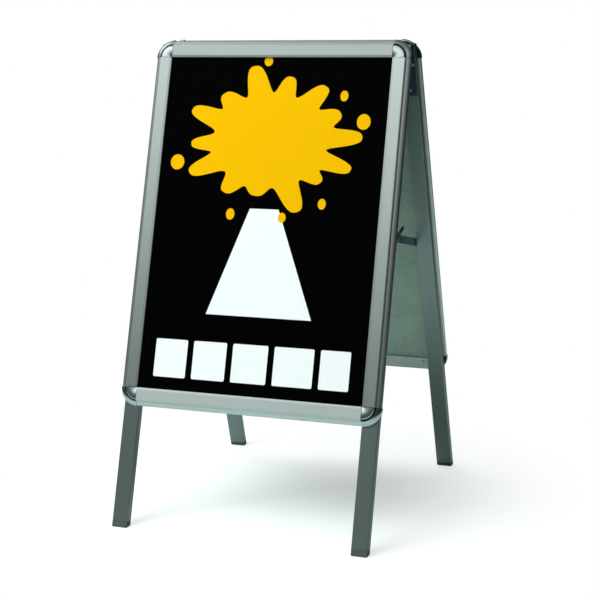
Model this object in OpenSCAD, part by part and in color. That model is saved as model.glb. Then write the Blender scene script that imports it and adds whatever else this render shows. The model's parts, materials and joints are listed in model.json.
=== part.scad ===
// Folding sandwich board (A-frame pavement sign) with a snap-open poster frame on both sides.
//
// Row frame: +Z up, the front poster faces -Y, +X is to the right of someone who reads it.
// The origin is on the ground, under the middle of the board.
//
// Each leaf is laid out flat: x across, y up the leaf from the middle of its panel, z out of the
// poster face, with z = 0 on the face of the frame. leaf_at_front() and leaf_at_back() stand it up.
// Frame sections are drawn as [w, n]: w inwards from the outer edge, n out of the face.

/* [Poster] */
// Width of the poster sheet
poster_w = 594; // [420:1:900]
// Height of the poster sheet
poster_h = 841; // [594:1:1200]
// Strip of the poster that the frame covers, on each side
poster_cover = 10; // [8:1:14]

/* [Frame] */
// Width of the frame profile, from its outer edge to the visible poster
rail_w = 44; // [40:1:60]
// Depth of the frame profile, from face to back
rail_d = 20; // [18:1:26]
// Wall of the frame profile
rail_wall = 1.6; // [1.2:0.1:2.2]
// Distance of the snap hinge from the outer edge
bead_w = 15.5; // [15:0.1:18]
// Radius of the round edge that a snap cover turns on
bead_r = 5; // [4.5:0.1:5.5]
// How far a snap cover slopes down over its last few millimetres
lip_drop = 1.5; // [1:0.1:2]
// Width of that slope
lip_slope = 5; // [3:0.5:8]
// Height of the poster ledge behind the face
ledge_n = 8.6; // [8:0.1:10]
// How far the corner rings stand proud of the rails
ring_proud = 2; // [0:0.5:4]
// Open space between a corner cap and its ring
cap_gap = 4.4; // [4:0.1:8]

/* [Sheets] */
// Thickness of the galvanised back sheet
sheet_t = 1; // [0.8:0.1:1.4]
// Thickness of the poster
print_t = 0.4; // [0.2:0.1:0.5]
// Thickness of the clear sheet in front of the poster
clear_t = 0.8; // [0.5:0.1:1]

/* [Legs] */
// Width of a leg tube
leg_w = 40; // [30:1:50]
// Thickness of a leg tube
leg_t = 20; // [16:1:26]
// Wall of a leg tube
leg_wall = 1.5; // [1.2:0.1:2.5]
// Distance from the side of the frame to the leg
leg_inset = 7; // [5:1:15]
// Length of a leg below the frame, measured down its middle
leg_below = 291; // [200:1:400]
// Lean of each leaf away from upright when the board stands open
tilt = 17; // [12:0.5:20]
// Height of a foot on the middle of its leg
foot_h = 14; // [10:1:30]

/* [Hinges] */
// Distance of the hinge axis below the top edge of the frame
hinge_drop = 14; // [12:1:20]
// Distance of the hinge axis from the inner face of a leg
hinge_off = 6; // [6:0.5:10]
// Width of a hinge
hinge_w = 36; // [28:1:38]
// Height of a hinge leaf below the axis
hinge_h = 118; // [90:1:140]
// Thickness of a hinge leaf
hinge_t = 2; // [1.5:0.1:3]
// Radius of the hinge pins
hinge_pin_r = 3; // [2.5:0.1:3.2]

/* [Stays] */
// Distance from the hinge axis to the rear pivot of a stay, down the leg
stay_rear_at = 517; // [420:1:620]
// Length of a rear stay arm between its pivots
stay_rear_len = 160; // [150:1:200]
// How much longer a front arm is, and how much lower its pivot
stay_more = 42; // [35:1:60]
// Width of a stay arm
stay_w = 20; // [16:1:26]
// Thickness of a stay arm
stay_t = 3; // [2:0.5:4]
// Length of the finger lever beyond the middle pivot
lever_len = 58; // [45:1:80]
// Width of the finger lever
lever_w = 9; // [8:1:12]

/* [Hidden] */
$fn = 48;

// Sides of a leaf, counted anticlockwise from the bottom as its reader sees it
BOTTOM = 0;
RIGHT = 1;
TOP = 2;
LEFT = 3;

view_w = poster_w - 2 * poster_cover;        // visible width
view_h = poster_h - 2 * poster_cover;        // visible height
panel_w = view_w + 2 * rail_w;
panel_h = view_h + 2 * rail_w;
end_gap = 0.5;                               // between a rail's end and a corner

move_gap = 0.3;                              // between faces that pass each other
fit_gap = 0.05;                              // radial, round a rivet or a pin that doesn't turn
run_gap = 0.08;                              // radial, round a pin that turns

// Frame section
nose_n = bead_r + 0.6;                       // depth of the nose's lip, below the axis of an open cover
nose_side_n = 14.5;                          // depth where the side becomes upright
nose_stretch = 3.5;                          // the nose's ellipse is this much wider than the nose
nose_end = acos(1 / nose_stretch - 1);       // where the lip cuts the ellipse, degrees
back_r = 3;                                  // round between the side and the back
cradle_gap = 0.1;                            // radial, between bead and cradle
cradle_r = bead_r + cradle_gap;
cradle_out_r = cradle_r + rail_wall - 0.1;
cradle_lip = 15;                             // where the cradle's inner lip ends, degrees from +w
nose_w = bead_w - bead_r + 0.2;              // the nose's reach, cut back by the cradle's bore
fence_w = rail_w - poster_cover - 1;         // the fence's inner side, just outside the poster
fence_n = 5;
ledge_w = 5;
ledge_t = 1.4;
stem_w = bead_w + 1;                         // inner side of the stem under the cradle
rib_w = bead_w + bead_r + 2.5;               // the cover's spring rib, clear of the cradle
rib_t = 1.2;
rib_n = 5;
clear_n = ledge_n - sheet_t - print_t - clear_t;   // front of the clear sheet
lip_n = clear_n - move_gap;                  // how deep the cover's lip reaches

// Corners
skirt_t = 2.5;                               // wall of the cap's skirt
ring_in = rail_w - bead_w + bead_r + 0.4;    // inner radius of the ring
ring_out = rail_w + ring_proud;
ring_t = 1.8;
cap_r = ring_in - cap_gap;
key_arm = 38;                                // reach of a key into a rail
key_arm_n = bead_r + cradle_out_r + 0.4;     // an arm passes under the cradle
screw_r = 1.7;
screw_at = 20;                               // from the corner, along the top and bottom rails

// Legs
leg_mid = panel_w / 2 - leg_inset - leg_w / 2;     // middle of a leg, across
leg_in = leg_mid - leg_w / 2;                      // its inner side
leg_face_n = rail_d + leg_t;                       // its inner face, behind the frame's face
leg_length = panel_h + leg_below;                  // top edge of the frame to the ground
leg_top_y = panel_h / 2 - 9;
foot_y = panel_h / 2 - leg_length;                 // where the leg's middle line meets the ground
tube_end_y = foot_y + foot_h;
sole_rise = leg_t / 2 * tan(tilt);                 // the sole's slope over half a leg
plug_gap = 0.2;
plug_h = 18;
rivet_r = 2;
leg_rivet_w = (stem_w + fence_w) / 2;              // rivets run down the middle of the channel
leg_rivet_ys = [for (k = [-1, -1/3, 1/3, 1]) k * (view_h / 2 - 70)];

// Hinges
hinge_y = panel_h / 2 - hinge_drop;
hinge_n = leg_face_n + hinge_off;
hinge_z = (leg_length - hinge_drop) * cos(tilt) - (hinge_off + leg_t / 2) * sin(tilt);
knuckle_r = hinge_off - 1;
knuckles = 5;
knuckle_pitch = hinge_w / knuckles;
hinge_rivet_spots = [[-12, 39], [12, 39], [0, hinge_h - 15]];   // across, and below the axis

// Stays, in the upright plane beside the legs: [y, z]
stay_front_at = stay_rear_at + stay_more;
stay_front_len = stay_rear_len + stay_more;
leg_axis_off = hinge_off + leg_t / 2;
function leg_point(a) = [-leg_axis_off * cos(tilt) - a * sin(tilt),
                         hinge_z + leg_axis_off * sin(tilt) - a * cos(tilt)];
stay_front_pivot = leg_point(stay_front_at);
stay_rear_pivot = [-leg_point(stay_rear_at)[0], leg_point(stay_rear_at)[1]];
stay_span = norm(stay_rear_pivot - stay_front_pivot);
stay_slope = atan2(stay_rear_pivot[1] - stay_front_pivot[1], stay_rear_pivot[0] - stay_front_pivot[0]);
stay_front_angle = stay_slope
    + acos((pow(stay_front_len, 2) + pow(stay_span, 2) - pow(stay_rear_len, 2)) / (2 * stay_front_len * stay_span));
stay_mid = stay_front_pivot + stay_front_len * [cos(stay_front_angle), sin(stay_front_angle)];
stay_rear_angle = atan2(stay_mid[1] - stay_rear_pivot[1], stay_mid[0] - stay_rear_pivot[0]);
stay_off = 1.8;                                    // spacer between a leg and the rear arm
stay_rear_x = leg_in - stay_off - stay_t / 2;      // middle planes of the arms
stay_front_x = stay_rear_x - stay_t - move_gap;
stay_pin_r = 3;
stay_head_r = 5.5;
stay_head_t = 1.5;
grip_len = 26;
grip_wall = 0.8;

// Points of an arc or of an ellipse's quarter
function arc(c, r, from, to, steps) =
    [for (i = [0:steps]) let (a = from + (to - from) * i / steps) c + r * [cos(a), sin(a)]];
function oval(c, rx, ry, from, to, steps) =
    [for (i = [0:steps]) let (a = from + (to - from) * i / steps) c + [rx * cos(a), ry * sin(a)]];

// ---- Placing ----

// Stands a flat leaf up: its hinge axis goes to the row's X axis at the top, its foot swings to -Y.
module leaf_at_front() {
    translate([0, 0, hinge_z]) rotate([90 - tilt, 0, 0]) translate([0, -hinge_y, hinge_n]) children();
}
module leaf_at_back() {
    rotate([0, 0, 180]) leaf_at_front() children();
}

function side_half(side) = side % 2 == 0 ? panel_h / 2 : panel_w / 2;
function side_length(side) = (side % 2 == 0 ? view_w : view_h) - 2 * end_gap;

// Lays children that run along +x at the leaf's edge, with y inwards, on one side of the leaf.
module on_side(side) {
    rotate([0, 0, 90 * side]) translate([0, -side_half(side), 0]) children();
}

// Extrudes a [w, n] section along a side.
module along(length) {
    rotate([90, 0, 90]) linear_extrude(length, center = true) children();
}

// Repeats children at the four visible corners of the poster, quadrant +x +y pointing outwards.
module at_corners() {
    for (k = [0:3]) {
        sx = k == 0 || k == 3 ? 1 : -1;
        sy = k < 2 ? 1 : -1;
        translate([sx * view_w / 2, sy * view_h / 2, 0]) rotate([0, 0, 90 * k]) children();
    }
}

// ---- Frame ----

bead_c = [bead_w, -bead_r];

// Base profile: sloping nose, cradle for the bead, stem, back web, fence and poster ledge.
module base_section() {
    nose_rx = nose_stretch * nose_w;
    nose_ry = (nose_side_n - nose_n) / sin(nose_end);
    nose_c = [nose_rx, -nose_side_n];
    web = -rail_d + rail_wall;
    stem_top = -bead_r - cradle_out_r;
    hollow_from = 205;                       // where the hollow behind the nose meets the cradle
    hollow_end = acos((bead_w + cradle_out_r * cos(hollow_from) - 0.4 - nose_rx) / (nose_rx - rail_wall));
    difference() {
        polygon(concat(
            [[fence_w, -rail_d]],
            arc([back_r, -rail_d + back_r], back_r, 270, 180, 4),
            oval(nose_c, nose_rx, nose_ry, 180, nose_end, 10),
            [bead_c],
            arc(bead_c, cradle_out_r, cradle_lip, -80, 10),
            [[stem_w, stem_top], [stem_w, web],
             [fence_w - rail_wall, web], [fence_w - rail_wall, -fence_n],
             [fence_w, -fence_n], [fence_w, -ledge_n],
             [fence_w + ledge_w, -ledge_n], [fence_w + ledge_w, -ledge_n - ledge_t],
             [fence_w, -ledge_n - ledge_t]]));
        translate(bead_c) circle(cradle_r);
        polygon(concat(
            [[rail_wall + 1.4, web], [rail_wall, web + 1.4]],
            oval(nose_c, nose_rx - rail_wall, nose_ry - rail_wall, 180, hollow_end, 10),
            arc(bead_c, cradle_out_r, hollow_from, 262, 6),
            [[stem_w - rail_wall, stem_top], [stem_w - rail_wall, web]]));
    }
}

module base_rail(side) {
    color("silver") difference() {
        on_side(side) along(side_length(side)) base_section();
        if (side % 2 == 1) leg_rivet_holes();
        else key_screw_holes(rail_d - rail_wall);
    }
}

// Snap cover: hollow round edge, flat face, sloping lip, and the rib that its springs press on.
module cover_section() {
    slope_w = rail_w - lip_slope;
    translate(bead_c) difference() {
        circle(bead_r);
        circle(bead_r - rail_wall);
    }
    polygon([
        [bead_w, 0], [bead_w, -rail_wall / 2], [bead_w + 0.6, -rail_wall],
        [rib_w, -rail_wall], [rib_w, -rib_n], [rib_w + rib_t, -rib_n], [rib_w + rib_t, -rail_wall],
        [slope_w - 0.4, -rail_wall], [rail_w - rail_wall, -lip_drop - rail_wall + 0.2],
        [rail_w - rail_wall, -lip_n], [rail_w, -lip_n], [rail_w, -lip_drop], [slope_w, 0]]);
}

module snap_cover(side) {
    color("gainsboro") on_side(side) along(side_length(side)) cover_section();
}

// Bent steel strip that stands in the channel and presses on the cover's rib.
module spring_section() {
    web = -rail_d + rail_wall;
    foot_in = fence_w - rail_wall - 1;
    blade = 0.8;
    heel = stem_w + 1.2;
    tip = [rib_w + rib_t / 2, -rib_n - move_gap];
    polygon([[foot_in, web], [heel, web], tip - [blade / 2, 0], tip + [blade / 2, 0],
             [heel + blade + 0.4, web + blade], [foot_in, web + blade]]);
}

module cover_springs() {
    color("gray") for (side = [BOTTOM, RIGHT, TOP, LEFT]) {
        count = side % 2 == 0 ? 2 : 3;
        for (k = [0:count - 1])
            on_side(side) translate([(k - (count - 1) / 2) * side_length(side) / (count + 0.4), 0, 0])
                along(16) spring_section();
    }
}

// ---- Sheets ----

module sheet(front_n, thickness, margin) {
    w = poster_w - 2 * margin;
    h = poster_h - 2 * margin;
    translate([-w / 2, -h / 2, -front_n - thickness]) cube([w, h, thickness]);
}

module back_sheet() {
    color("darkseagreen") sheet(ledge_n - sheet_t, sheet_t, -0.5);
}

module poster() {
    color("black") sheet(ledge_n - sheet_t - print_t, print_t, 0);
}

module clear_sheet() {
    color("lightcyan", 0.3) sheet(clear_n, clear_t, 0);
}

// ---- Corners ----

// Black moulded core that joins two rails: a quarter round and two arms.
module corner_keys() {
    arm_in = rail_w - fence_w + rail_wall + 0.5;
    arm_w = fence_w - rail_wall - stem_w - 1;
    web = -rail_d + rail_wall;
    arm_h = -key_arm_n - web;
    color("dimgray") difference() {
        at_corners() {
            rotate_extrude(angle = 90) polygon([
                [0, -rail_d], [ring_out - ring_t - 0.3, -rail_d],
                [ring_out - ring_t - 0.3, -nose_side_n - 0.7], [ring_in + 2.8, -ledge_n - 1.4],
                [ring_in + 2, -ledge_n], [0, -ledge_n]]);
            translate([arm_in, -key_arm, web]) cube([arm_w, key_arm + 1, arm_h]);
            translate([-key_arm, arm_in, web]) cube([key_arm + 1, arm_w, arm_h]);
        }
        key_screw_holes(key_arm_n + 2);
    }
}

// Chrome-plated outer ring that carries the nose round the corner.
module corner_rings() {
    inner = ring_out - ring_t;
    ring_rx = nose_stretch * (ring_out - ring_in);
    ring_ry = (nose_side_n - nose_n + 0.6) / sin(nose_end);
    ring_c = [ring_out - ring_rx, -nose_side_n];
    leg_end = acos((ring_in + ring_t - ring_c[0]) / (ring_rx - ring_t));
    color("lightgray") at_corners() rotate_extrude(angle = 90) polygon(concat(
        [[ring_in, -ledge_n]],
        oval(ring_c, ring_rx, ring_ry, 180 - nose_end, 0, 10),
        arc([ring_out - back_r, -rail_d + back_r], back_r, 0, -60, 4),
        [[inner, -rail_d]],
        oval(ring_c, ring_rx - ring_t, ring_ry - ring_t, 0, leg_end, 10),
        [[ring_in + ring_t, -ledge_n]]));
}

// Chrome-plated quarter-round cap between the ends of two covers.
module corner_caps() {
    edge_r = 3;
    color("whitesmoke") at_corners() rotate_extrude(angle = 90) polygon(concat(
        [[0, -clear_n], [rail_wall, -clear_n], [rail_wall, -lip_drop - 1.9], [lip_slope, -2],
         [cap_r - skirt_t, -2], [cap_r - skirt_t, -ledge_n], [cap_r, -ledge_n]],
        arc([cap_r - edge_r, -edge_r], edge_r, 0, 90, 6),
        [[lip_slope, 0], [0, -lip_drop]]));
}

// Screw places on the back of the top and bottom rails, repeated as a pattern.
module at_key_screws() {
    at_corners_x = view_w / 2 - screw_at;
    screw_y = view_h / 2 + rail_w - leg_rivet_w;
    for (sx = [-1, 1], sy = [-1, 1]) translate([sx * at_corners_x, sy * screw_y, 0]) children();
}

module key_screw_holes(front_n) {
    at_key_screws() translate([0, 0, -rail_d - 1]) cylinder(r = screw_r + fit_gap, h = rail_d + 1 - front_n);
}

module key_screws() {
    color("gray") at_key_screws() {
        translate([0, 0, -rail_d - 2]) cylinder(r = 3.8, h = 2);
        translate([0, 0, -rail_d - 0.5]) cylinder(r = screw_r, h = rail_d - key_arm_n - 1.5 - 0.5);
    }
}

// ---- Legs ----

module leg(side) {
    color("slategray") difference() {
        translate([side * leg_mid, 0, 0]) difference() {
            translate([-leg_w / 2, tube_end_y, -leg_face_n]) cube([leg_w, leg_top_y - tube_end_y, leg_t]);
            translate([-leg_w / 2 + leg_wall, tube_end_y - 1, -leg_face_n + leg_wall])
                cube([leg_w - 2 * leg_wall, leg_top_y - tube_end_y + 2, leg_t - 2 * leg_wall]);
        }
        leg_rivet_holes();
        hinge_rivet_holes();
        stay_stud_holes();
    }
}

module at_leg_rivets() {
    for (sx = [-1, 1], y = leg_rivet_ys) translate([sx * (panel_w / 2 - leg_rivet_w), y, 0]) children();
}

module leg_rivet_holes() {
    at_leg_rivets() translate([0, 0, -rail_d - leg_wall - 1])
        cylinder(r = rivet_r + fit_gap, h = leg_wall + rail_wall + 2);
}

// Blind rivets from the channel of a side rail into a leg.
module leg_rivets() {
    color("silver") at_leg_rivets() {
        translate([0, 0, -rail_d + rail_wall]) cylinder(r = 4, h = 1.2);
        translate([0, 0, -rail_d - leg_wall - 1]) cylinder(r = rivet_r, h = leg_wall + rail_wall + 1.5);
        translate([0, 0, -rail_d - leg_wall - 2.5]) cylinder(r = 3.1, h = 2.5);
    }
}

// Plastic plug with a flat head that closes the top of a leg.
module leg_tops() {
    head_h = 3;
    inner_w = leg_w - 2 * leg_wall - 2 * plug_gap;
    inner_t = leg_t - 2 * leg_wall - 2 * plug_gap;
    color("dimgray") for (side = [-1, 1]) translate([side * leg_mid, leg_top_y, -leg_face_n]) {
        translate([-leg_w / 2, 0, 0]) cube([leg_w, head_h, leg_t]);
        translate([-inner_w / 2, -plug_h, leg_wall + plug_gap]) cube([inner_w, plug_h + 1, inner_t]);
    }
}

// Plastic foot: a plug in the tube, and a block whose sole lies flat on the ground.
module feet() {
    toe_r = 4;
    inner_w = leg_w - 2 * leg_wall - 2 * plug_gap;
    inner_t = leg_t - 2 * leg_wall - 2 * plug_gap;
    low = foot_y - sole_rise;
    color("darkslategray") for (side = [-1, 1]) translate([side * leg_mid, 0, 0]) {
        intersection() {
            rotate([90, 0, 90]) linear_extrude(leg_w, center = true) polygon([
                [tube_end_y, -rail_d], [foot_y - sole_rise, -rail_d],
                [foot_y + sole_rise, -leg_face_n], [tube_end_y, -leg_face_n]]);
            translate([0, 0, -leg_face_n - 1]) linear_extrude(leg_t + 2) polygon(concat(
                [[leg_w / 2, tube_end_y + 1], [-leg_w / 2, tube_end_y + 1]],
                arc([-leg_w / 2 + toe_r, low + toe_r], toe_r, 180, 250, 5),
                [[-leg_w / 2 + toe_r, low - 1], [leg_w / 2 - toe_r, low - 1]],
                arc([leg_w / 2 - toe_r, low + toe_r], toe_r, 290, 360, 5)));
        }
        translate([-inner_w / 2, tube_end_y - 1, -leg_face_n + leg_wall + plug_gap])
            cube([inner_w, plug_h + 1, inner_t]);
    }
}

// ---- Hinges ----

module along_x(r, length) {
    rotate([0, 90, 0]) cylinder(r = r, h = length, center = true);
}

// One leaf of each butt hinge. It has the knuckles whose number is odd or even.
module hinge_leaves(odd) {
    color("darkslategray") for (side = [-1, 1]) translate([side * leg_mid, hinge_y, 0]) difference() {
        union() {
            translate([-hinge_w / 2, -hinge_h, -leg_face_n - hinge_t]) cube([hinge_w, hinge_h, hinge_t]);
            for (k = [0:knuckles - 1]) if (k % 2 == odd)
                translate([(k - (knuckles - 1) / 2) * knuckle_pitch, 0, -hinge_n])
                    along_x(knuckle_r, knuckle_pitch - move_gap);
        }
        for (k = [0:knuckles - 1]) if (k % 2 != odd)
            translate([(k - (knuckles - 1) / 2) * knuckle_pitch - knuckle_pitch / 2 - move_gap / 2,
                       -knuckle_r - 1, -leg_face_n - hinge_t - 1])
                cube([knuckle_pitch + move_gap, knuckle_r + 2, hinge_t + 2]);
        translate([0, 0, -hinge_n]) along_x(hinge_pin_r + (odd == 0 ? fit_gap : run_gap), hinge_w + 2);
        for (spot = hinge_rivet_spots) translate([spot[0], -spot[1], -leg_face_n - hinge_t - 1])
            cylinder(r = rivet_r + fit_gap, h = hinge_t + 2);
    }
}

module at_hinge_rivets() {
    for (side = [-1, 1], spot = hinge_rivet_spots)
        translate([side * leg_mid + spot[0], hinge_y - spot[1], 0]) children();
}

module hinge_rivet_holes() {
    at_hinge_rivets() translate([0, 0, -leg_face_n - 1]) cylinder(r = rivet_r + fit_gap, h = leg_wall + 2);
}

module hinge_rivets() {
    color("lightgray") at_hinge_rivets() {
        translate([0, 0, -leg_face_n - hinge_t - 1.4]) cylinder(r = 3.6, h = 1.4);
        translate([0, 0, -leg_face_n - hinge_t - 1]) cylinder(r = rivet_r, h = hinge_t + leg_wall + 1.5);
        translate([0, 0, -leg_face_n + leg_wall]) cylinder(r = 3.1, h = 2.5);
    }
}

module hinge_pins() {
    head_t = 1;
    color("gray") for (side = [-1, 1]) translate([side * leg_mid, 0, hinge_z]) {
        along_x(hinge_pin_r, hinge_w + 2 * fit_gap + head_t);
        for (end = [-1, 1]) translate([end * (hinge_w / 2 + head_t / 2 + 0.1), 0, 0])
            along_x(hinge_pin_r + 1, head_t);
    }
}

// ---- Stays ----

// Shouldered rivets in the inner sides of the legs. The shoulder keeps the arm off the leg.
module stay_studs(at, arm_x) {
    shoulder = leg_in - arm_x - stay_t / 2;
    bulb_t = 2.5;
    shank = bulb_t + leg_wall + shoulder + stay_t + move_gap / 2 + 0.5;
    color("gray") for (side = [-1, 1]) translate([side * leg_in, hinge_y - at, -rail_d - leg_t / 2]) {
        translate([-side * shoulder / 2, 0, 0]) along_x(stay_pin_r + 4, shoulder);
        translate([side * (leg_wall + bulb_t / 2), 0, 0]) along_x(stay_pin_r + 1.5, bulb_t);
        translate([side * (leg_wall + bulb_t - shank / 2), 0, 0]) along_x(stay_pin_r, shank);
        translate([-side * (shoulder + stay_t + move_gap / 2 + stay_head_t / 2), 0, 0])
            along_x(stay_head_r, stay_head_t);
    }
}

module stay_stud_holes() {
    for (side = [-1, 1], at = [stay_front_at, stay_rear_at])
        translate([side * leg_in, hinge_y - at, -rail_d - leg_t / 2])
            along_x(stay_pin_r + fit_gap, 2 * leg_wall + 2);
}

// Lays a flat outline in the upright plane x = arm_x, from a pivot at the given angle.
module in_stay_plane(x, pivot, angle, thickness) {
    translate([x, pivot[0], pivot[1]]) rotate([angle, 0, 0])
        rotate([90, 0, 90]) linear_extrude(thickness, center = true) children();
}

module stay_bore(x, centre, gap) {
    translate([x, centre[0], centre[1]]) along_x(stay_pin_r + gap, stay_t + 2);
}

// Lever outline beyond the middle pivot, from half width a down to half width b.
function lever_points(start, a, b, length) = concat(
    arc([start + length - b, 0], b, -90, 90, 8), [[start + 32, b], [start + 8, a]]);

module stay_front_arm(side) {
    half = stay_w / 2;
    lever = lever_points(stay_front_len, half, lever_w / 2, lever_len);
    color("darkslategray") difference() {
        in_stay_plane(side * stay_front_x, stay_front_pivot, stay_front_angle, stay_t)
            polygon(concat(arc([0, 0], half, 90, 270, 16), [[stay_front_len + 8, -half],
                [stay_front_len + 32, -lever_w / 2]], lever));
        stay_bore(side * stay_front_x, stay_front_pivot, run_gap);
        stay_bore(side * stay_front_x, stay_mid, fit_gap);
    }
}

module stay_rear_arm(side) {
    half = stay_w / 2;
    color("darkslategray") difference() {
        in_stay_plane(side * stay_rear_x, stay_rear_pivot, stay_rear_angle, stay_t)
            polygon(concat(arc([0, 0], half, 90, 270, 16), arc([stay_rear_len, 0], half, -90, 90, 16)));
        stay_bore(side * stay_rear_x, stay_rear_pivot, run_gap);
        stay_bore(side * stay_rear_x, stay_mid, fit_gap);
    }
}

// Black sleeve dipped over the end of the lever.
module stay_grip(side) {
    start = stay_front_len + lever_len - grip_len;
    half = lever_w / 2;
    color("black") difference() {
        in_stay_plane(side * stay_front_x, stay_front_pivot, stay_front_angle, stay_t + 2 * grip_wall)
            polygon(concat(arc([start + grip_len - half, 0], half + grip_wall, -90, 90, 8),
                [[start, half + grip_wall], [start, -half - grip_wall]]));
        in_stay_plane(side * stay_front_x, stay_front_pivot, stay_front_angle, stay_t)
            polygon(concat(arc([start + grip_len - half, 0], half, -90, 90, 8),
                [[start - 1, half], [start - 1, -half]]));
    }
}

// Middle pivot: the head and shank stay with the rear arm, and the clinched tail with the front arm.
module stay_rivet(side) {
    color("gray") translate([side * stay_rear_x, stay_mid[0], stay_mid[1]]) {
        along_x(stay_pin_r, stay_t);
        translate([side * (stay_t + stay_head_t) / 2, 0, 0]) along_x(stay_head_r, stay_head_t);
    }
}

module stay_tail(side) {
    color("gray") translate([side * stay_front_x, stay_mid[0], stay_mid[1]]) {
        along_x(stay_pin_r, stay_t);
        translate([-side * (stay_t + stay_head_t) / 2, 0, 0]) along_x(stay_head_r - 1, stay_head_t);
    }
}

// ---- Nodes ----

leaf_at_front() base_rail(TOP);  // front_base_rail_top
leaf_at_front() base_rail(BOTTOM);  // front_base_rail_bottom
leaf_at_front() base_rail(LEFT);  // front_base_rail_left
leaf_at_front() base_rail(RIGHT);  // front_base_rail_right
leaf_at_front() snap_cover(TOP);  // front_cover_top
leaf_at_front() snap_cover(BOTTOM);  // front_cover_bottom
leaf_at_front() snap_cover(LEFT);  // front_cover_left
leaf_at_front() snap_cover(RIGHT);  // front_cover_right
leaf_at_front() back_sheet();  // front_back_sheet
leaf_at_front() poster();  // front_poster
leaf_at_front() clear_sheet();  // front_clear_sheet
leaf_at_front() corner_keys();  // front_corner_keys
leaf_at_front() corner_rings();  // front_corner_rings
leaf_at_front() corner_caps();  // front_corner_caps
leaf_at_front() key_screws();  // front_key_screws
leaf_at_front() cover_springs();  // front_cover_springs
leaf_at_front() leg(-1);  // front_leg_left
leaf_at_front() leg(1);  // front_leg_right
leaf_at_front() leg_rivets();  // front_leg_rivets
leaf_at_front() leg_tops();  // front_leg_tops
leaf_at_front() feet();  // front_feet
leaf_at_front() hinge_leaves(0);  // front_hinge_leaves
leaf_at_front() hinge_rivets();  // front_hinge_rivets
leaf_at_front() stay_studs(stay_front_at, stay_front_x);  // front_stay_studs
hinge_pins();
leaf_at_back() base_rail(TOP);  // rear_base_rail_top
leaf_at_back() base_rail(BOTTOM);  // rear_base_rail_bottom
leaf_at_back() base_rail(RIGHT);  // rear_base_rail_left
leaf_at_back() base_rail(LEFT);  // rear_base_rail_right
leaf_at_back() snap_cover(TOP);  // rear_cover_top
leaf_at_back() snap_cover(BOTTOM);  // rear_cover_bottom
leaf_at_back() snap_cover(RIGHT);  // rear_cover_left
leaf_at_back() snap_cover(LEFT);  // rear_cover_right
leaf_at_back() back_sheet();  // rear_back_sheet
leaf_at_back() poster();  // rear_poster
leaf_at_back() clear_sheet();  // rear_clear_sheet
leaf_at_back() corner_keys();  // rear_corner_keys
leaf_at_back() corner_rings();  // rear_corner_rings
leaf_at_back() corner_caps();  // rear_corner_caps
leaf_at_back() key_screws();  // rear_key_screws
leaf_at_back() cover_springs();  // rear_cover_springs
leaf_at_back() leg(1);  // rear_leg_left
leaf_at_back() leg(-1);  // rear_leg_right
leaf_at_back() leg_rivets();  // rear_leg_rivets
leaf_at_back() leg_tops();  // rear_leg_tops
leaf_at_back() feet();  // rear_feet
leaf_at_back() hinge_leaves(1);  // rear_hinge_leaves
leaf_at_back() hinge_rivets();  // rear_hinge_rivets
leaf_at_back() stay_studs(stay_rear_at, stay_rear_x);  // rear_stay_studs
stay_front_arm(-1);  // stay_front_arm_left
stay_front_arm(1);  // stay_front_arm_right
stay_rear_arm(-1);  // stay_rear_arm_left
stay_rear_arm(1);  // stay_rear_arm_right
stay_grip(-1);  // stay_grip_left
stay_grip(1);  // stay_grip_right
stay_rivet(-1);  // stay_rivet_left
stay_rivet(1);  // stay_rivet_right
stay_tail(-1);  // stay_tail_left
stay_tail(1);  // stay_tail_right
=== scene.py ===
"""Builds the looks of a folding sandwich board round its fixed frame."""

import json
import math
from functools import partial

import bmesh
import bpy
import numpy as np
from bpy.props import FloatProperty, FloatVectorProperty, PointerProperty, StringProperty
from mathutils import Matrix, Vector


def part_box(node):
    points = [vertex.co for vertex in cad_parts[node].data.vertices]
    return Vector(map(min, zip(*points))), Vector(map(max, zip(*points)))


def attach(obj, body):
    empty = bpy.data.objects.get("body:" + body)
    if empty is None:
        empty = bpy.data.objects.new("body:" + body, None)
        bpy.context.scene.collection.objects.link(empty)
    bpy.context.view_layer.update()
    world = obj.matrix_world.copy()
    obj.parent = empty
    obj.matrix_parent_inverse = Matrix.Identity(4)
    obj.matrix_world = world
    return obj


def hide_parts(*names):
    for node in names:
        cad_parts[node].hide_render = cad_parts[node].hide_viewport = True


bl_info = {
    "name": "Sandwich Board",
    "version": (1, 0, 0),
    "blender": (4, 5, 0),
    "location": "3D View > Sidebar > Board",
    "description": "Builds a folding pavement sign with snap-open poster frames",
    "category": "Add Mesh",
}

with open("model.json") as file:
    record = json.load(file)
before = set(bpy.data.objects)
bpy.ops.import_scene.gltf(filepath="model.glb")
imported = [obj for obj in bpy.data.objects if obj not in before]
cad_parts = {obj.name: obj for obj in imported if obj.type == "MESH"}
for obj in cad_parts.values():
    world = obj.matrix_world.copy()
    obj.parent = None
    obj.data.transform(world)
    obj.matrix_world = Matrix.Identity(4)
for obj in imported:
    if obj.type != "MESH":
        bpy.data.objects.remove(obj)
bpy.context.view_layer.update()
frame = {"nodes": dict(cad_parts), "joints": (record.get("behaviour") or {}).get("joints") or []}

JOINTS = {joint["name"]: joint for joint in frame["joints"]}
HINGE_HEIGHT = JOINTS["fold"]["pos_m"][2]
TILT = math.radians(JOINTS["fold"]["range_deg"][1]) / 2
LEAVES = ("front", "rear")
BOTTOM, RIGHT, TOP, LEFT = range(4)
SIDE_NAMES = {
    "front": {BOTTOM: "bottom", RIGHT: "right", TOP: "top", LEFT: "left"},
    "rear": {BOTTOM: "bottom", RIGHT: "left", TOP: "top", LEFT: "right"},
}
PANEL_HALF_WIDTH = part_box("front_base_rail_right")[1].x
LEG_INNER_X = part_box("front_leg_right")[0].x
LEG_OUTER_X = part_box("front_leg_right")[1].x


# ---- Sizes and colours ----


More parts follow.
